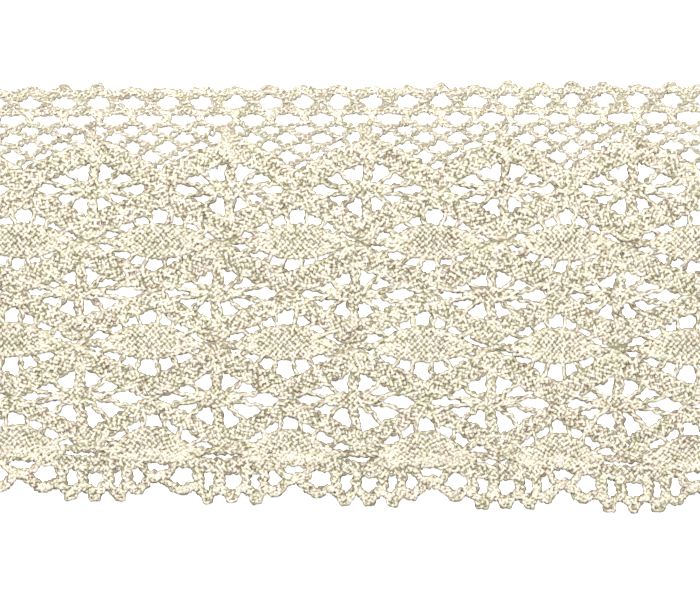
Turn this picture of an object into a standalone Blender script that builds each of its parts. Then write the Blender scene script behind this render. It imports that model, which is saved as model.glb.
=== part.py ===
"""A flat cut length of cotton lace trim, six repeats long, lying on a surface.

The trim is one piece of openwork. Its footing, the edge that is sewn on, runs along +Y and
carries a row of picots. Below it three rows of rosettes alternate with leaves, and the heading
along -Y ends in picots of two depths. The solid has the trim's outline and its largest gaps.

Units are metres. X runs along the trim, Y across it, Z up, and the underside lies on z = 0.
"""

import math
from collections import namedtuple

import bpy

MM = 0.001

# Driving dimensions
REPEAT = 24.0 * MM
REPEATS = 6
LENGTH = REPEAT * REPEATS
WIDTH = 75.0 * MM
THICKNESS = 1.2 * MM

# Footing
EYELETS_PER_REPEAT = 4
EYELET_PITCH = REPEAT / EYELETS_PER_REPEAT
EYELET_SHIFT = 1.1 * MM  # from a rosette of the top row to the nearest eyelet
PICOT_HEIGHT = 1.5 * MM
PICOT_HALF_WIDTH = 2.0 * MM
PICOT_HALF_TOP = 1.0 * MM
FOOTING_EDGE = WIDTH / 2 - PICOT_HEIGHT

# Gaps
ROUND_GAP_SIDES = 5
NARROW_GAP_SIDES = 4
NARROW_GAP_HEIGHT = 1.9 * MM  # a gap lower than this has four sides
CUT_EDGE_MARGIN = 1.0 * MM  # solid kept beside each cut end
CORNER_MARGIN = 0.1 * MM  # no corner of the outline is nearer than this to a cut end

# Every position below is in millimetres. along is counted from a rosette of the top row.
Motif = namedtuple("Motif", "along across")
Gap = namedtuple("Gap", "along across width height tilt")
HeadingPoint = namedtuple("HeadingPoint", "along across half_width")

# The rows of motifs, each row a little further along than the one above, as soft lace lies.
ROSETTE_ROWS = (
    Motif(0.0, 18.2),
    Motif(-2.3, 0.2),
    Motif(-2.5, -18.6),
)
LEAF_ROWS = (
    Motif(-12.1, 8.9),
    Motif(-13.9, -8.6),
)
BORDER_LEAF = Motif(-13.3, -26.5)

# Gaps right of a rosette's hub, mirrored to its left. tilt is in degrees.
ROSETTE_GAPS = (
    Gap(2.4, 2.9, 3.2, 2.7, 0),
    Gap(5.0, 1.6, 3.2, 1.7, 18),
    Gap(8.0, 0.0, 4.8, 2.1, 0),
    Gap(5.0, -1.8, 3.4, 1.8, -18),
    Gap(2.3, -3.2, 3.1, 2.7, 0),
)

# Gaps right of a leaf, mirrored to its left, and those on its middle line.
LEAF_SIDE_GAPS = (
    Gap(5.4, 2.7, 3.5, 1.8, -18),
    Gap(5.4, -2.7, 3.5, 1.8, 18),
)
LEAF_MIDDLE_GAPS = (
    Gap(0.0, 4.9, 2.6, 3.0, 0),
    Gap(-0.6, -4.4, 2.6, 3.0, 0),
)
BORDER_LEAF_GAPS = (
    Gap(-3.1, 3.0, 3.1, 2.2, -25),
    Gap(0.2, 4.2, 3.2, 2.3, 0),
    Gap(3.2, 2.6, 2.5, 3.0, 0),
    Gap(-5.9, 1.7, 4.4, 1.8, -12),
    Gap(5.8, 1.5, 3.9, 2.1, 12),
)

# The mesh under the footing: the gaps that hang between two rosettes.
MESH_GAPS = (
    Gap(-17.2, 25.7, 3.5, 1.8, 0),
    Gap(-11.9, 25.7, 3.4, 2.0, 0),
    Gap(-6.3, 25.7, 3.6, 2.2, 0),
    Gap(-14.3, 23.7, 2.5, 2.5, 0),
    Gap(-9.5, 23.7, 3.4, 2.2, 0),
)
EYELET = Gap(0.0, 33.8, 3.7, 2.5, 0)

# Gaps between the border trail and the heading's picots.
HEADING_GAPS = (
    Gap(-16.0, -32.4, 2.6, 2.6, 0),
    Gap(-8.3, -32.4, 4.2, 2.6, 0),
    Gap(-3.7, -33.0, 2.4, 3.2, 0),
    Gap(0.3, -33.0, 3.0, 3.6, 0),
    Gap(4.5, -33.1, 1.9, 3.3, 0),
)

# The scalloped edge through one repeat, tips and hollows in turn, from -X to +X.
HEADING = (
    HeadingPoint(-17.4, -35.2, 0.3),
    HeadingPoint(-15.9, -36.0, 0.7),
    HeadingPoint(-12.4, -33.6, 1.4),
    HeadingPoint(-8.6, -36.0, 0.8),
    HeadingPoint(-6.2, -35.4, 0.3),
    HeadingPoint(-3.7, -37.5, 0.8),
    HeadingPoint(-1.6, -36.2, 0.3),
    HeadingPoint(0.4, -37.5, 0.8),
    HeadingPoint(2.6, -36.2, 0.3),
    HeadingPoint(4.8, -37.5, 0.8),
)


def clear_scene():
    for thing in list(bpy.data.objects):
        bpy.data.objects.remove(thing)


def cotton():
    """Ecru cotton thread."""
    material = bpy.data.materials.new("ecru_cotton")
    material.use_nodes = True
    shader = material.node_tree.nodes["Principled BSDF"]
    shader.inputs["Base Color"].default_value = (0.61, 0.56, 0.43, 1.0)
    shader.inputs["Roughness"].default_value = 0.9
    shader.inputs["Metallic"].default_value = 0.0
    return material


def repeat_starts():
    """Where each rosette of the top row stands, the two at the cut ends too."""
    return [REPEAT * (i - REPEATS / 2) for i in range(REPEATS + 2)]


def within_cut(x):
    return abs(x) < LENGTH / 2 - CORNER_MARGIN


def footing_points():
    """The picot edge, from +X back to -X."""
    points = []
    for i in range(EYELETS_PER_REPEAT * (REPEATS + 1), -EYELETS_PER_REPEAT, -1):
        middle = EYELET_SHIFT - LENGTH / 2 + i * EYELET_PITCH
        for reach, height in (
            (PICOT_HALF_WIDTH, 0.0),
            (PICOT_HALF_TOP, PICOT_HEIGHT),
            (-PICOT_HALF_TOP, PICOT_HEIGHT),
            (-PICOT_HALF_WIDTH, 0.0),
        ):
            points.append((middle + reach, FOOTING_EDGE + height))
    return [point for point in points if within_cut(point[0])]


def heading_points():
    """The scalloped edge, from -X to +X."""
    points = []
    for start in repeat_starts():
        for row in HEADING:
            for side in (-1, 1):
                points.append((start + (row.along + side * row.half_width) * MM, row.across * MM))
    return [point for point in points if within_cut(point[0])]


def trim_outline():
    """Round the trim: the heading, the cut end at +X, the footing, the cut end at -X."""
    heading = heading_points()
    footing = footing_points()
    right = LENGTH / 2
    corners_right = [(right, heading[-1][1]), (right, footing[0][1])]
    corners_left = [(-right, footing[-1][1]), (-right, heading[0][1])]
    return heading + corners_right + footing + corners_left


def moved(gap, start, motif=Motif(0.0, 0.0)):
    """The gap beside its motif, in the repeat that starts at this rosette."""
    return Gap(
        start + (motif.along + gap.along) * MM,
        (motif.across + gap.across) * MM,
        gap.width * MM,
        gap.height * MM,
        math.radians(gap.tilt),
    )


def mirrored(gap):
    return gap._replace(along=-gap.along, tilt=-gap.tilt)


def gaps_of_repeat(start):
    """Every large gap of one repeat."""
    gaps = []
    for motif in ROSETTE_ROWS:
        for gap in ROSETTE_GAPS:
            gaps += [moved(gap, start, motif), moved(mirrored(gap), start, motif)]
    for motif in LEAF_ROWS:
        gaps += [moved(gap, start, motif) for gap in LEAF_MIDDLE_GAPS]
        for gap in LEAF_SIDE_GAPS:
            gaps += [moved(gap, start, motif), moved(mirrored(gap), start, motif)]
    gaps += [moved(gap, start, BORDER_LEAF) for gap in BORDER_LEAF_GAPS]
    gaps += [moved(gap, start) for gap in MESH_GAPS + HEADING_GAPS]
    for i in range(EYELETS_PER_REPEAT):
        gaps.append(moved(EYELET, start + EYELET_SHIFT - i * EYELET_PITCH))
    return gaps


def gap_points(gap):
    """A few-sided ellipse round the gap."""
    sides = NARROW_GAP_SIDES if gap.height < NARROW_GAP_HEIGHT else ROUND_GAP_SIDES
    points = []
    for i in range(sides):
        angle = 2 * math.pi * i / sides
        x = gap.width / 2 * math.cos(angle)
        y = gap.height / 2 * math.sin(angle)
        points.append(
            (
                gap.along + x * math.cos(gap.tilt) - y * math.sin(gap.tilt),
                gap.across + x * math.sin(gap.tilt) + y * math.cos(gap.tilt),
            )
        )
    return points


def add_ring(curve, points):
    ring = curve.splines.new("POLY")
    ring.points.add(len(points) - 1)
    for place, (x, y) in zip(ring.points, points):
        place.co = (x, y, 0.0, 1.0)
    ring.use_cyclic_u = True


def lace(collection):
    """The trim as one sheet: its outline filled, the gaps left open."""
    curve = bpy.data.curves.new("lace", "CURVE")
    curve.dimensions = "2D"
    curve.fill_mode = "BOTH"
    curve.extrude = THICKNESS / 2
    add_ring(curve, trim_outline())
    reach = LENGTH / 2 - CUT_EDGE_MARGIN
    for start in repeat_starts():
        for gap in gaps_of_repeat(start):
            if abs(gap.along) + gap.width / 2 < reach:
                add_ring(curve, gap_points(gap))
    sheet = bpy.data.objects.new("lace", curve)
    sheet.location.z = THICKNESS / 2
    sheet.data.materials.append(cotton())
    collection.objects.link(sheet)
    return sheet


def build():
    clear_scene()
    collection = bpy.data.collections.new("lace_trim")
    bpy.context.scene.collection.children.link(collection)
    lace(collection)


build()
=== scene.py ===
"""A cut length of cotton lace trim, lying flat, made yarn by yarn.

Every band, leaf, leg and mesh bar of the lace is a braid of real yarns. Yarns.braid() lays the
yarns of one braid over and under each other along a path, and the lay_ functions say where the
paths run. Places in the tables are (along, across), in millimetres: along the trim from a
rosette of the top row, and across it from the trim's middle line towards the footing.
"""

import math

import bpy
import numpy as np
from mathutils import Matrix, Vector


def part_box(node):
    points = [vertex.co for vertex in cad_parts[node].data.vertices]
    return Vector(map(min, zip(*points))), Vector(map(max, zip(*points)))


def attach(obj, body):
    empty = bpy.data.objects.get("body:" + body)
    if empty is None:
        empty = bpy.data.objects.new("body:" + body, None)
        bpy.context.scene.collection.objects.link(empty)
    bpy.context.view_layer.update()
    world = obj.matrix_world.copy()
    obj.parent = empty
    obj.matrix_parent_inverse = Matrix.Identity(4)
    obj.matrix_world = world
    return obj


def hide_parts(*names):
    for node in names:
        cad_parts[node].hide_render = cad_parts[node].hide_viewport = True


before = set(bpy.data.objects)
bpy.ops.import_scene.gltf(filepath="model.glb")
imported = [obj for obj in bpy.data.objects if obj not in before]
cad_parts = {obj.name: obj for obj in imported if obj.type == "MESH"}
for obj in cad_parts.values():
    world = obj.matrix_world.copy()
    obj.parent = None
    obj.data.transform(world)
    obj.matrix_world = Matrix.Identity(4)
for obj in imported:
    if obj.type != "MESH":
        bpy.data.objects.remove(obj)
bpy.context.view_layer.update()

MM = 0.001

# The trim. Lengths from here on are in millimetres.
BOX_LOW, BOX_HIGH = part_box("lace")
LENGTH = BOX_HIGH[0] - BOX_LOW[0]  # in metres, as the frame has it
HALF_LENGTH = LENGTH / MM / 2
MIDDLE = (BOX_HIGH[2] - BOX_LOW[2]) / MM / 2  # the height of its middle plane
REPEATS = 6
REPEAT = LENGTH / MM / REPEATS

# The yarn
CURVE_STEPS = 24  # between two points of a path, before it is stepped evenly
YARN_RADIUS = 0.33
FINE_YARN_RADIUS = 0.25  # in the footing and its mesh, where the yarn is drawn tight
YARN_SIDES = 5
PLY_SWELL = 0.13  # how far the two plies stand out from a round yarn
PLY_TWIST = 2.3  # length of one turn of the plies
TWIST_APART = 1.7  # how far one yarn's plies are turned from the next one's
LOWEST = YARN_RADIUS * (1 + PLY_SWELL)
HIGHEST = 0.93

# How it is braided
CELL = 1.02  # from one crossing to the next over-crossing, along a woven band
RINGS_PER_CELL = 4
RISE = 0.27  # how far a yarn rises and dips at its crossings
TURN_SHAPE = 0.965  # 1 is a sharp turn at a band's edge, and less is a rounder one
MORE_AT_TIPS = 2.0  # a narrow end keeps about so many yarns more than its width has room for
LENS_ENDS = 0.13  # how wide a woven leaf is at its tips, as a share of its middle
LENS_FULLNESS = 0.95  # less than 1 keeps it wide for longer
WANDER = 0.18  # how far a yarn strays from its place
WANDER_UPWARDS = 0.5  # the share of it that is up and down
WANDER_WAVES = ((7.0, 0.6), (3.1, 0.8), (1.7, 0.6))  # length, share
WAVE_SPREAD = (0.8, 1.2)
BRAIDS_APART = 100  # how far apart along the waves two braids may start
CLOSE_WORK = 0.65  # the share of WANDER in a woven leaf, which is closely worked
FRAY = 0.9  # how unevenly the yarns are cut at the ends

# The cotton's colours, laid by height as painted light: DEEP is painted shade in the crevices, ECRU
# the cotton's own colour, and PALE a painted highlight on the crests
DEEP = (0.26, 0.225, 0.14)
ECRU = (0.68, 0.62, 0.465)
PALE = (0.95, 0.915, 0.82)
DEEP_AT, ECRU_AT, PALE_AT = 0.12, 0.5, 0.98  # where they come on the way from deep to pale
CREVICE = 0.16  # how far from the middle plane the deep colour, a painted crevice shade, ends
CREST = 0.59  # and how far from it the pale colour, a painted crest highlight, is full
CREST_SHARE = 0.75  # how much of the colour goes by height, as painted shade and highlight
CLOUD_SHARE = 0.3  # how much by slow unevenness
TONE_SHARE = 0.12  # how much by the yarn
FINE_YARN_TONE = 1.2  # how much paler the fine yarn is, to make up for the painted crevice shade, which covers more of a thin yarn
TONE_STEP = 0.618034  # from one yarn to the next
FLANK = 0.55  # how much of the pale colour a yarn's flanks keep: painted shade on its sides
FLANK_FROM, FLANK_TO = 0.25, 0.9  # from the flank to the top of a yarn
HUE_SPREAD = 0.018  # how far unbleached cotton varies between a redder and a greener yellow
HUE_MIDDLE = 0.5  # the hue as it is
NOISE_LOW, NOISE_HIGH = 0.3, 0.7  # where most of a noise lies
CLOUDS_PER_METRE, CLOUD_DETAIL = 260.0, 3.0
HUES_PER_METRE, HUE_DETAIL = 330.0, 1.0
FUZZ_PER_METRE, FUZZ_DETAIL = 9000.0, 2.0
PLY_RELIEF = 0.5  # how strong the plies' ridges are beside the fuzz
RELIEF_DEPTH = 0.05

# How the soft lace lies: it spreads towards +X and is drawn in near that end
SPREAD_MIDDLE = 0.0065  # how much wider it lies half way along
SPREAD_SLOPE = 0.00037  # and how much more for each millimetre towards +X
SPREAD_STILL = 20.0  # the place across the trim that stays where it is
DRAWN_IN = 1.6
DRAWN_FROM = 24.0
DRAWN_OVER = 22.0


def rounded_zigzag(turn):
    """A zigzag from -1 to 1 with rounded ends, one zig and zag for each whole turn."""
    return np.arcsin(TURN_SHAPE * -np.cos(2 * np.pi * turn)) / math.asin(TURN_SHAPE)


def run_along(line):
    """How far along the line each of its points is."""
    return np.concatenate([[0], np.cumsum(np.linalg.norm(np.diff(line, axis=0), axis=1))])


def smooth_path(points, step):
    """A smooth curve through the points, in even steps.

    Gives its places, the side direction at each, how far along each is, and the whole length.
    """
    points = np.asarray(points, float)
    padded = np.vstack([2 * points[0] - points[1], points, 2 * points[-1] - points[-2]])
    t = np.linspace(0, 1, CURVE_STEPS, endpoint=False)[:, None]
    spans = []
    for a, b, c, d in zip(padded[:-3], padded[1:-2], padded[2:-1], padded[3:]):
        spans.append(
            0.5 * (2 * b + (c - a) * t + (2 * a - 5 * b + 4 * c - d) * t**2
                   + (3 * b - a - 3 * c + d) * t**3)
        )
    dense = np.vstack(spans + [points[-1:]])
    dense_run = run_along(dense)
    length = dense_run[-1]
    run = np.linspace(0, length, max(3, int(round(length / step)) + 1))
    places = np.stack([np.interp(run, dense_run, dense[:, i]) for i in range(2)], axis=1)
    ahead = np.gradient(places, axis=0)
    ahead /= np.linalg.norm(ahead, axis=1)[:, None]
    sides = np.stack([-ahead[:, 1], ahead[:, 0]], axis=1)
    return places, sides, run, length


def settled(places):
    """Where the soft lace really lies."""
    along = places[:, 0]
    spread = SPREAD_MIDDLE + SPREAD_SLOPE * along
    drawn = np.clip((along - DRAWN_FROM) / DRAWN_OVER, 0, 1)
    drawn = DRAWN_IN * drawn**2 * (3 - 2 * drawn)
    lying = places.copy()
    lying[:, 0] = along - drawn
    lying[:, 1] += spread * (places[:, 1] - SPREAD_STILL)
    return lying


def lens(share):
    """The outline of a leaf: widest in the middle."""
    return LENS_ENDS + (1 - LENS_ENDS) * np.sin(np.pi * share) ** LENS_FULLNESS


class Yarns:
    """The yarns of one piece, collected as lines of points."""

    def __init__(self, seed, radius=YARN_RADIUS, tone=0.0):
        self.lines = []
        self.radius = radius
        self.tone = tone
        self.random = np.random.default_rng(seed)

    def wander(self, run):
        """Slow and quick unevenness along one yarn."""
        total = np.zeros((len(run), 3))
        for wave, share in WANDER_WAVES:
            phase = self.random.uniform(0, 2 * np.pi, 3)
            wave = wave * self.random.uniform(*WAVE_SPREAD)
            total += share * np.sin(2 * np.pi * run[:, None] / wave + phase)
        return total * WANDER

    def add(self, places):
        """Keeps one yarn, cut where the trim's ends are."""
        end = HALF_LENGTH - FRAY * self.random.uniform(0, 1)
        inside = np.abs(places[:, 0]) < end
        edges = np.flatnonzero(np.diff(inside.astype(int)))
        for part in np.split(places, edges + 1):
            if len(part) > 2 and abs(part[len(part) // 2, 0]) < end:
                self.lines.append(settled(part))

    def braid(self, points, half_width, strands, turn=None, taper=None, lift=0.0, stray=1.0):
        """Lays a braid along a path.

        half_width is from the middle line to the outer yarn's middle. turn is the length in
        which a yarn crosses over and back. taper(share) narrows it along its length, and where
        it is narrow it has fewer yarns. stray is how loosely it is worked.
        """
        turn = turn or strands * CELL
        places, sides, run, length = smooth_path(points, turn / (RINGS_PER_CELL * strands))
        ahead = np.stack([sides[:, 1], -sides[:, 0]], axis=1)
        narrowing = taper(run / length) if taper else np.ones(len(run))
        width = half_width * narrowing
        start = BRAIDS_APART * self.random.uniform(0, 1)
        for k in range(strands):
            turns = run / turn + k / strands
            across = width * rounded_zigzag(turns)
            going = np.clip(np.sin(2 * np.pi * turns) / math.sin(math.pi / strands), -1, 1)
            height = -RISE * going * np.cos(2 * np.pi * strands * turns)
            stray_by = stray * self.wander(run + start)
            flat = places + sides * (across + stray_by[:, 0])[:, None]
            flat += ahead * stray_by[:, 1:2]
            height = MIDDLE + lift + height + WANDER_UPWARDS * stray_by[:, 2]
            height = np.clip(height, LOWEST, HIGHEST)
            room = narrowing > (k * 3 % strands - MORE_AT_TIPS) / strands
            self.add(np.column_stack([flat, height])[room])

    def pair(self, points, turn, half_width, lift=0.0):
        """Two yarns twisted round each other."""
        self.braid(points, half_width, 2, turn=turn, lift=lift)

    def plait(self, points, turn, half_width, lift=0.0):
        """A plait of four yarns."""
        self.braid(points, half_width, 4, turn=turn, lift=lift)


def starts():
    """Along the trim, each rosette of the top row, and some past each end."""
    return [REPEAT * (i - REPEATS / 2) for i in range(-1, REPEATS + 3)]


def repeated(row):
    """One repeat's points, repeated along the whole trim."""
    return [(start + along, across) for start in starts() for along, across in row]


def moved(points, along, across):
    return [(along + x, across + y) for x, y in points]


# Bands of cloth stitch, each through one repeat
BANDS = {
    "top_arch": ((-11.9, 19.5), (-9.3, 21.2), (-6.2, 22.7), (-3.0, 24.2), (0.0, 24.8), (3.0, 24.6),
                 (6.2, 22.9), (9.3, 21.2)),
    "first_upper": ((-11.9, 17.0), (-9.0, 15.7), (-6.0, 14.2), (-3.3, 12.6), (-1.0, 11.6),
                    (2.0, 12.6), (5.4, 14.2), (9.0, 15.7)),
    "first_lower": ((-13.2, 1.9), (-10.2, 3.0), (-7.0, 4.1), (-4.0, 5.8), (-1.6, 6.7), (1.2, 5.7),
                    (5.2, 3.9), (8.0, 2.8)),
    "second_upper": ((-13.4, -1.1), (-10.6, -2.4), (-7.7, -4.0), (-5.0, -5.3), (-2.6, -5.9),
                     (0.4, -5.3), (4.0, -3.9), (7.6, -2.3)),
    "second_lower": ((-13.7, -16.7), (-10.4, -15.4), (-7.0, -13.7), (-4.6, -12.3), (-2.6, -11.3),
                     (0.3, -12.3), (3.4, -13.7), (7.0, -15.4)),
    "border_arch": ((-13.8, -19.8), (-10.2, -21.2), (-7.0, -22.8), (-4.0, -24.4), (-1.4, -25.3),
                    (1.3, -24.8), (4.2, -23.1), (7.4, -21.2)),
    "border": ((-13.2, -28.6), (-8.5, -29.3), (-4.5, -30.1), (0.5, -30.4), (5.0, -30.1),
               (8.3, -29.2)),
}
BAND_SIZES = {  # half width, yarns
    "top_arch": (1.8, 8),
    "first_upper": (1.8, 8),
    "first_lower": (1.9, 8),
    "second_upper": (1.5, 7),
    "second_lower": (1.8, 8),
    "border_arch": (1.3, 6),
    "border": (1.2, 5),
}


def lay_bands(yarns, names):
    for name in names:
        half_width, strands = BAND_SIZES[name]
        yarns.braid(repeated(BANDS[name]), half_width, strands)


# Legs join a rosette or a leaf to the bands round it. Each is its points and how many yarns.
LEG_BRAIDS = {
    2: dict(half_width=0.23, turn=2.8, lift=0.04),
    3: dict(half_width=0.4, turn=3.0, lift=-0.06),
    4: dict(half_width=0.72, turn=3.6),
}


def lay_legs(yarns, legs, along, across, mirror=1, lean=0.0):
    """Lays legs that start round (along, across). Their far ends lean so far along the trim."""
    for *points, strands in legs:
        far = abs(points[-1][1]) or 1
        route = [(along + mirror * x + lean * abs(y) / far, across + y) for x, y in points]
        yarns.braid(route, strands=strands, **LEG_BRAIDS[strands])


# Rosettes: a small hub with legs all round
ROSETTES = ((0.0, 18.3), (-2.3, 0.1), (-2.5, -18.4))
ROSETTE_LEANS = ((0.7, 0.1), (0.8, 0.0), (0.7, 0.8))  # of the upper and the lower leg
HUB = ((-4.6, 0), (0, 0), (4.6, 0))
HUB_HALF_WIDTH = 1.4
HUB_YARNS = 6
UPPER_LEG = (((0.1, 1.0), (0.0, 3.6), (0.1, 5.8), 4),)
LOWER_LEG = (((-0.1, -1.0), (0.1, -3.6), (0.2, -5.9), 4),)
SIDE_LEGS = (
    ((1.6, 0.6), (3.7, 2.2), (5.9, 4.2), 2),
    ((2.6, 0.25), (6.0, 0.8), (10.2, 2.0), 2),
    ((2.6, -0.25), (6.0, -0.8), (10.2, -1.9), 2),
    ((1.6, -0.6), (3.6, -2.3), (5.6, -4.6), 2),
)


def lay_rosette(yarns, along, across, lean_up, lean_down):
    yarns.braid(moved(HUB, along, across), HUB_HALF_WIDTH, HUB_YARNS, taper=lens)
    lay_legs(yarns, UPPER_LEG, along, across, lean=lean_up)
    lay_legs(yarns, LOWER_LEG, along, across, lean=lean_down)
    for mirror in (-1, 1):
        lay_legs(yarns, SIDE_LEGS, along, across, mirror)


# Woven leaves, whose ends sag a little
LEAVES = ((-12.1, 9.2), (-13.9, -8.45))
LEAF_LEANS = ((0.0, -1.3), (-0.3, -0.5))  # of the legs above and below
LEAF_SAGS = (0.1, 0.6)
LEAF_HALF_LENGTH = 8.6
LEAF_HALF_WIDTH = 2.95
LEAF_YARNS = 12
LEFT_TIP = (((5.0, 0.0), (8.0, 0.1), (12.2, 0.1), 3),)
RIGHT_TIP = (((5.0, 0.0), (8.0, -0.1), (10.4, -0.3), (12.2, -0.1), 3),)
LEGS_ABOVE = (
    ((0.9, 1.5), (1.5, 3.3), (2.2, 5.8), 2),
    ((2.8, 1.2), (4.0, 2.6), (5.4, 4.6), 2),
    ((4.6, 0.6), (6.6, 1.4), (9.4, 2.6), 2),
)
LEGS_BELOW = tuple(
    tuple((x, -y) for x, y in points) + (strands,) for *points, strands in LEGS_ABOVE
)


def lay_leaf(yarns, along, across, lean_above, lean_below, sag):
    path = ((-LEAF_HALF_LENGTH, -sag), (0, 0), (LEAF_HALF_LENGTH, -sag))
    yarns.braid(moved(path, along, across), LEAF_HALF_WIDTH, LEAF_YARNS, taper=lens,
                stray=CLOSE_WORK)
    for mirror, tip in ((-1, LEFT_TIP), (1, RIGHT_TIP)):
        lay_legs(yarns, tip, along, across - sag, mirror)
        lay_legs(yarns, LEGS_ABOVE, along, across, mirror, lean_above)
        lay_legs(yarns, LEGS_BELOW, along, across, mirror, lean_below)


# The border's leaves, which lie on the border band and have no legs below
BORDER_LEAF = (-13.3, -26.5)
BORDER_LEAF_PATH = ((-8.6, -1.3), (-4.2, -0.8), (0, 0), (4.2, -1.1), (8.6, -1.5))
BORDER_LEAF_HALF_WIDTH = 2.8
BORDER_LEAF_SAG = 1.3
BORDER_LEAF_LEGS = (
    ((1.9, 1.2), (1.9, 3.0), (1.6, 5.2), 2),
    ((3.9, 0.7), (4.4, 1.7), (5.2, 3.4), 2),
    ((6.0, -0.6), (7.4, 0.3), (9.0, 1.6), 2),
)


def lay_border_leaf(yarns, along, across):
    yarns.braid(moved(BORDER_LEAF_PATH, along, across), BORDER_LEAF_HALF_WIDTH, LEAF_YARNS,
                taper=lens, stray=CLOSE_WORK)
    for mirror in (-1, 1):
        lay_legs(yarns, BORDER_LEAF_LEGS, along, across, mirror)
        lay_legs(yarns, LEFT_TIP, along, across - BORDER_LEAF_SAG, mirror)


# Ties between a band and the tips of each row of leaves: (along, across, which way the band is)
TIES = (
    ((-0.5, 10.3, 1), (-1.5, 8.0, -1)),
    ((-2.7, -7.7, 1), (-2.6, -10.3, -1)),
    ((-0.3, -26.8, 1), (3.2, -28.9, -1)),
)


def lay_ties(yarns, ties):
    for start in starts():
        for along, across, way in ties:
            path = [(-2.6, 0.9 * way), (-1.3, 0.0), (1.3, 0.0), (2.6, 0.9 * way)]
            yarns.plait(moved(path, start + along, across), turn=3.6, half_width=0.5, lift=-0.07)


# The mesh under the footing. Its bars cross at these rows, and run down to the top arch.
MESH_ROWS = (35.5, 33.8, 30.9, 28.9, 27.4, 25.8, 24.0, 22.2, 20.6)
LONG_KNOT_ROW = 2
LONG_KNOT = ((-0.3, 0.5), (0.3, -0.7))
MESH_STEP = REPEAT / 8
MESH_SHIFT = 1.1
MESH_PAST_END = 9  # columns past each end, so that slanting bars fill the corners
MESH_BAR = dict(turn=2.1, half_width=0.38)
MESH_LIFT = 0.06  # bars that slant one way lie this much over those that slant the other
MESH_INTO_ARCH = 0.4


def arch_height(along):
    """Across the trim, the middle of the top arch at this place along it."""
    row = np.array(repeated(BANDS["top_arch"]))
    return np.interp(along, row[:, 0], row[:, 1])


def lay_mesh(yarns):
    eyelets = int(round(HALF_LENGTH / MESH_STEP))
    for column in range(-MESH_PAST_END, eyelets + MESH_PAST_END + 1):
        for way in (-1, 1):
            start = MESH_SHIFT + 2 * MESH_STEP * column - HALF_LENGTH
            route = []
            for row, across in enumerate(MESH_ROWS):
                along = start + way * MESH_STEP * row
                if row == LONG_KNOT_ROW:
                    route += [(along + x * way, across + y) for x, y in LONG_KNOT]
                else:
                    route.append((along, across))
                if across < arch_height(along) + MESH_INTO_ARCH:
                    break
            if len(route) > 2:
                yarns.pair(route, lift=MESH_LIFT * way, **MESH_BAR)


# The footing: a row of eyelets between two plaits, with a picot over each
EYELET = 2 * MESH_STEP
EYELETS_PAST_END = 2
FOOTING_PLAIT = dict(turn=2.8, half_width=0.45)
TOP_EDGE = 35.7
TOP_EDGE_DIP = 0.6
UNDER_EDGE = 31.75
UNDER_EDGE_BETWEEN = 32.15  # between two eyelets
KNOT = ((-0.1, 32.3), (0.0, 31.0), (0.1, 29.6))
KNOT_HALF_WIDTH = 0.62
PICOT_TOP = 36.9
PICOT_SPREAD = 1.3  # how much lower a picot may be
# Over each rosette a short stalk of cloth stitch joins the mesh to the top arch
STALK = ((-0.2, 29.3), (-0.2, 27.5), (0.0, 24.6))
STALK_HALF_WIDTH = 1.05
STALK_YARNS = 5


def lay_footing(yarns):
    edge, under = [], []
    count = int(round(2 * HALF_LENGTH / EYELET)) + 2 * EYELETS_PAST_END
    for i in range(count):
        middle = MESH_SHIFT - HALF_LENGTH + (i - EYELETS_PAST_END) * EYELET
        edge += [(middle - 0.5 * EYELET, TOP_EDGE - TOP_EDGE_DIP), (middle, TOP_EDGE)]
        top = PICOT_TOP - yarns.random.uniform(0.0, PICOT_SPREAD)
        loop = [(-1.3, TOP_EDGE), (-0.7, top - 0.3), (0.0, top), (0.7, top - 0.3),
                (1.3, TOP_EDGE)]
        yarns.pair(moved(loop, middle, 0), turn=2.0, half_width=0.2)
        under += [(middle - 0.5 * EYELET, UNDER_EDGE_BETWEEN), (middle, UNDER_EDGE)]
        yarns.plait(moved(KNOT, middle, 0), turn=2.8, half_width=KNOT_HALF_WIDTH, lift=0.05)
    yarns.plait(edge, **FOOTING_PLAIT)
    yarns.plait(under, **FOOTING_PLAIT)
    for start in starts():
        yarns.braid(moved(STALK, start, 0), STALK_HALF_WIDTH, STALK_YARNS)


# The heading: picots at the scalloped edge, and the legs that reach them from the border
HEADING_LINE = ((-17.9, -34.1), (-15.9, -34.6), (-14.2, -33.2), (-12.6, -32.4), (-10.8, -33.2),
                (-8.6, -34.6), (-6.0, -33.9), (-3.7, -35.4), (-1.7, -34.2), (0.5, -35.4),
                (2.6, -34.2), (4.8, -35.4))
HEADING_ARCH = ((-15.7, -30.0), (-14.7, -31.5), (-13.6, -31.9), (-12.5, -32.0), (-11.4, -31.9),
                (-10.3, -31.5), (-9.3, -30.0))
HEADING_LEGS_AT = (-5.3, -1.65, 2.95, 6.15)
HEADING_LEG = ((0.0, -30.8), (0.0, -32.4), (0.0, -34.6))
HEADING_PICOTS = ((-15.9, -35.4), (-8.6, -35.4), (-3.7, -36.7), (0.5, -36.7), (4.8, -36.7))
HEADING_LOOP = ((-0.9, 1.4), (-0.7, 0.4), (0.0, 0.2), (0.7, 0.4), (0.9, 1.4))


def lay_heading(yarns):
    yarns.plait(repeated(HEADING_LINE), turn=3.0, half_width=0.66)
    for start in starts():
        for along in HEADING_LEGS_AT:
            yarns.plait(moved(HEADING_LEG, start + along, 0), turn=3.2, half_width=0.76)
        yarns.plait(moved(HEADING_ARCH, start, 0), turn=3.6, half_width=0.45)
        for along, across in HEADING_PICOTS:
            loop = moved(HEADING_LOOP, start + along, across)
            yarns.pair(loop, turn=2.4, half_width=0.2)


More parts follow.
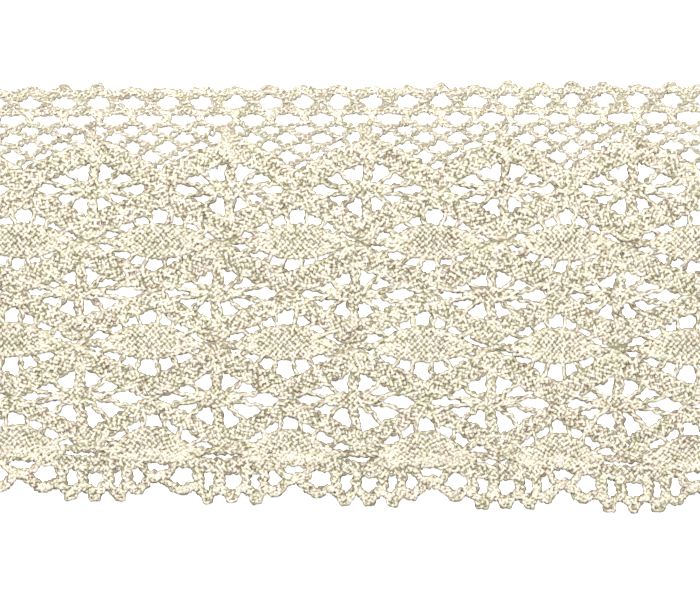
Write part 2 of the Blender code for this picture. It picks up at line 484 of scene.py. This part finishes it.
def tube_rings(line, radius, twist_start):
    """Rings of points round one yarn, two-ply in section, and how far along it each ring is."""
    ahead = np.gradient(line, axis=0)
    ahead /= np.linalg.norm(ahead, axis=1)[:, None]
    side = np.stack([-ahead[:, 1], ahead[:, 0], np.zeros(len(line))], axis=1)
    side /= np.linalg.norm(side, axis=1)[:, None]
    up = np.cross(ahead, side)
    run = run_along(line)
    around = np.arange(YARN_SIDES) * 2 * np.pi / YARN_SIDES
    twist = 2 * np.pi * run / PLY_TWIST + twist_start
    reach = radius * (1 + PLY_SWELL * np.cos(2 * (around[None, :] - twist[:, None])))
    rings = (
        line[:, None, :]
        + side[:, None, :] * (reach * np.cos(around))[:, :, None]
        + up[:, None, :] * (reach * np.sin(around))[:, :, None]
    )
    return rings.reshape(-1, 3), run


def tube_faces(count):
    """The four corners of each face of a tube of so many rings."""
    ring = np.arange(count - 1)[:, None] * YARN_SIDES
    here = np.arange(YARN_SIDES)[None, :]
    after = (here + 1) % YARN_SIDES
    corners = (ring + here, ring + after, ring + YARN_SIDES + after, ring + YARN_SIDES + here)
    return np.stack(corners, axis=-1).reshape(-1, 4)


def tube_uv(run):
    """The same corners, as the share of the way round the yarn and how far along it they are."""
    here = np.arange(YARN_SIDES)[None, :]
    corners = []
    for around, along in ((here, run[:-1]), (here + 1, run[:-1]), (here + 1, run[1:]),
                          (here, run[1:])):
        pair = np.broadcast_arrays(around / YARN_SIDES, along[:, None])
        corners.append(np.stack(pair, axis=-1))
    return np.stack(corners, axis=2).reshape(-1, 2)


def yarn_mesh(name, yarns):
    """One mesh of closed tubes, one along each yarn."""
    points, quads, caps, quads_uv, tones = [], [], [], [], []
    base = 0
    for number, line in enumerate(yarns.lines):
        rings, run = tube_rings(line, yarns.radius, number * TWIST_APART)
        first = base + np.arange(YARN_SIDES)
        points.append(rings)
        quads.append(base + tube_faces(len(line)))
        caps += [first[::-1], first + (len(line) - 1) * YARN_SIDES]
        quads_uv.append(tube_uv(run))
        tones.append(np.full(len(rings), yarns.tone + (number * TONE_STEP) % 1.0))
        base += len(rings)
    quads, caps, quads_uv = np.vstack(quads), np.vstack(caps), np.vstack(quads_uv)
    corners = np.concatenate([quads.ravel(), caps.ravel()])
    sizes = np.repeat([4, YARN_SIDES], [len(quads), len(caps)])
    uv = np.zeros((len(corners), 2))
    uv[: len(quads_uv)] = quads_uv

    mesh = bpy.data.meshes.new(name)
    mesh.vertices.add(base)
    mesh.vertices.foreach_set("co", (np.vstack(points) * MM).ravel())
    mesh.loops.add(len(corners))
    mesh.loops.foreach_set("vertex_index", corners.astype(np.int32))
    mesh.polygons.add(len(sizes))
    mesh.polygons.foreach_set("loop_start", (np.cumsum(sizes) - sizes).astype(np.int32))
    mesh.update(calc_edges=True)
    mesh.uv_layers.new(name="along_yarn").data.foreach_set("uv", uv.ravel())
    tone = mesh.attributes.new("yarn_tone", "FLOAT", "POINT")
    tone.data.foreach_set("value", np.concatenate(tones))
    mesh.validate()
    mesh.shade_smooth()
    return mesh


def join(tree, kind, settings=None, **sockets):
    """A new node. Each socket, named or numbered (as s0, s1 ...), is given a value or an output."""
    node = tree.nodes.new(kind)
    for name, value in (settings or {}).items():
        setattr(node, name, value)
    for name, value in sockets.items():
        key = int(name[1:]) if name[0] == "s" and name[1:].isdigit() else name.replace("_", " ")
        socket = node.inputs[key]
        if isinstance(value, bpy.types.NodeSocket):
            tree.links.new(value, socket)
        else:
            socket.default_value = value
    return node


def sums(tree, operation, *values):
    """The output of a Math node on these values."""
    numbered = {f"s{i}": value for i, value in enumerate(values)}
    return join(tree, "ShaderNodeMath", {"operation": operation}, **numbered).outputs[0]


def mapped(tree, value, source, target=(0.0, 1.0), kind="LINEAR"):
    """The value, carried from one range over to another."""
    return join(tree, "ShaderNodeMapRange", {"interpolation_type": kind}, Value=value,
                From_Min=source[0], From_Max=source[1], To_Min=target[0],
                To_Max=target[1]).outputs[0]


def noise(tree, place, scale, detail):
    return join(tree, "ShaderNodeTexNoise", Vector=place, Scale=scale, Detail=detail).outputs["Fac"]


def cotton():
    """Unbleached cotton yarn: matt, with a painted highlight on its crests and painted shade in its
    crevices and on its flanks.
    """
    material = bpy.data.materials.new("ecru_cotton_yarn")
    material.use_nodes = True
    tree = material.node_tree
    shader = tree.nodes["Principled BSDF"]
    shader.inputs["Roughness"].default_value = 0.85
    shader.inputs["Specular IOR Level"].default_value = 0.15

    tone = join(tree, "ShaderNodeAttribute", {"attribute_name": "yarn_tone"}).outputs["Fac"]
    place = join(tree, "ShaderNodeTexCoord").outputs["Object"]
    on_yarn = join(tree, "ShaderNodeUVMap", {"uv_map": "along_yarn"}).outputs["UV"]
    around, along, _ = join(tree, "ShaderNodeSeparateXYZ", Vector=on_yarn).outputs
    height = join(tree, "ShaderNodeSeparateXYZ", Vector=place).outputs["Z"]

    # Painted highlight on the crests of the lace and on each yarn's top and bottom, and painted
    # shade in the crevices and on each yarn's flanks
    away = sums(tree, "ABSOLUTE", sums(tree, "SUBTRACT", height, MIDDLE * MM))
    painted_light = mapped(tree, away, (CREVICE * MM, CREST * MM), kind="SMOOTHSTEP")
    upright = sums(tree, "SINE", sums(tree, "MULTIPLY", around, 2 * math.pi))
    flank = mapped(tree, sums(tree, "ABSOLUTE", upright), (FLANK_FROM, FLANK_TO), (FLANK, 1.0))
    painted_light = sums(tree, "MULTIPLY", painted_light, flank)

    clouds = noise(tree, place, CLOUDS_PER_METRE, CLOUD_DETAIL)
    clouds = sums(tree, "MULTIPLY", clouds, CLOUD_SHARE)
    uneven = sums(tree, "MULTIPLY_ADD", tone, TONE_SHARE, clouds)
    share = sums(tree, "MULTIPLY_ADD", painted_light, CREST_SHARE, uneven)
    # The ramp paints the light and shade: DEEP is painted crevice shade, PALE a painted highlight,
    # and ECRU between them the cotton's own colour
    ramp = join(tree, "ShaderNodeValToRGB", Fac=share)
    stops = ramp.color_ramp.elements
    stops[0].position, stops[0].color = DEEP_AT, (*DEEP, 1)
    stops[1].position, stops[1].color = PALE_AT, (*PALE, 1)
    stops.new(ECRU_AT).color = (*ECRU, 1)

    patches = noise(tree, place, HUES_PER_METRE, HUE_DETAIL)
    hue = mapped(tree, patches, (NOISE_LOW, NOISE_HIGH),
                 (HUE_MIDDLE - HUE_SPREAD, HUE_MIDDLE + HUE_SPREAD))
    dyed = join(tree, "ShaderNodeHueSaturation", Hue=hue, Color=ramp.outputs["Color"])
    tree.links.new(dyed.outputs["Color"], shader.inputs["Base Color"])

    # The plies' ridges and a fine fuzz
    plies = sums(tree, "MULTIPLY_ADD", along, -2.0 / PLY_TWIST,
                 sums(tree, "MULTIPLY", around, 2.0))
    ridges = sums(tree, "COSINE", sums(tree, "MULTIPLY", plies, 2 * math.pi))
    fuzz = noise(tree, place, FUZZ_PER_METRE, FUZZ_DETAIL)
    relief = sums(tree, "MULTIPLY_ADD", ridges, PLY_RELIEF, fuzz)
    bump = join(tree, "ShaderNodeBump", Strength=0.5, Distance=RELIEF_DEPTH * MM, Height=relief)
    tree.links.new(bump.outputs["Normal"], shader.inputs["Normal"])
    return material


def make_piece(name, yarns, material):
    mesh = yarn_mesh(name, yarns)
    mesh.materials.append(material)
    piece = bpy.data.objects.new(name, mesh)
    bpy.context.scene.collection.objects.link(piece)
    return piece


def build_lace():
    """The whole trim: each row of motifs is a piece, with its own seed."""
    material = cotton()
    footing = Yarns(1, FINE_YARN_RADIUS, FINE_YARN_TONE)
    lay_footing(footing)
    lay_mesh(footing)

    rosettes = [Yarns(2), Yarns(3), Yarns(4)]
    bands = (("top_arch", "first_upper"), ("first_lower", "second_upper"),
             ("second_lower", "border_arch"))
    for yarns, (along, across), leans, names in zip(rosettes, ROSETTES, ROSETTE_LEANS, bands):
        lay_bands(yarns, names)
        for start in starts():
            lay_rosette(yarns, start + along, across, *leans)

    leaves = [Yarns(5), Yarns(7), Yarns(8)]
    for start in starts():
        for yarns, (along, across), leans, sag in zip(leaves, LEAVES, LEAF_LEANS, LEAF_SAGS):
            lay_leaf(yarns, start + along, across, *leans, sag)
        lay_border_leaf(leaves[-1], start + BORDER_LEAF[0], BORDER_LEAF[1])
    for yarns, ties in zip(leaves, TIES):
        lay_ties(yarns, ties)

    heading = Yarns(6)
    lay_bands(heading, ("border",))
    lay_heading(heading)

    pieces = [make_piece("footing", footing, material)]
    for kind, rows in (("rosettes", rosettes), ("leaves", leaves)):
        for number, yarns in enumerate(rows):
            pieces.append(make_piece(f"{kind}_{number + 1}", yarns, material))
    pieces.append(make_piece("heading", heading, material))
    return pieces


def stage():
    """A bright paper floor."""
    bpy.ops.mesh.primitive_plane_add(size=3.0, location=(0, 0, 0))
    floor = bpy.context.object
    floor.name = "floor"
    material = bpy.data.materials.new("white_paper")
    material.use_nodes = True
    shader = material.node_tree.nodes["Principled BSDF"]
    shader.inputs["Base Color"].default_value = (0.95, 0.95, 0.95, 1)
    shader.inputs["Roughness"].default_value = 0.9
    shader.inputs["Emission Color"].default_value = (1, 1, 1, 1)
    shader.inputs["Emission Strength"].default_value = 0.75
    floor.data.materials.append(material)
    floor.visible_diffuse = False


def lamp(name, place, size, power):
    """A soft square light that points at the trim's middle."""
    light = bpy.data.lights.new(name, "AREA")
    light.size = size
    light.energy = power
    lamp_object = bpy.data.objects.new(name, light)
    lamp_object.location = place
    lamp_object.rotation_euler = (-Vector(place)).to_track_quat("-Z", "Y").to_euler()
    bpy.context.scene.collection.objects.link(lamp_object)


CAMERA_PLACE = (-2.8 * MM, -1.05 * MM, 0.8)
SHOWN_LENGTH = 122.6 * MM  # how much of the trim the camera takes in
LACE_TOP = 1 * MM
SENSOR = 36.0


def light_and_look():
    scene = bpy.context.scene
    scene.view_settings.view_transform = "Standard"
    world = bpy.data.worlds.new("soft_white")
    world.use_nodes = True
    background = world.node_tree.nodes["Background"]
    background.inputs["Color"].default_value = (1, 1, 1, 1)
    background.inputs["Strength"].default_value = 0.10
    scene.world = world
    lamp("key", (-0.06, 0.26, 0.7), size=0.2, power=6.6)
    lamp("fill", (0.3, -0.3, 0.7), size=0.4, power=1.2)
    camera = bpy.data.cameras.new("camera")
    camera.sensor_width = SENSOR
    camera.lens = SENSOR * (CAMERA_PLACE[2] - LACE_TOP) / SHOWN_LENGTH
    camera.clip_start = 0.01
    camera_object = bpy.data.objects.new("camera", camera)
    camera_object.location = CAMERA_PLACE
    scene.collection.objects.link(camera_object)
    scene.camera = camera_object


pieces = build_lace()
for piece in pieces:
    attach(piece, "root")
    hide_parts("lace")
stage()
light_and_look()
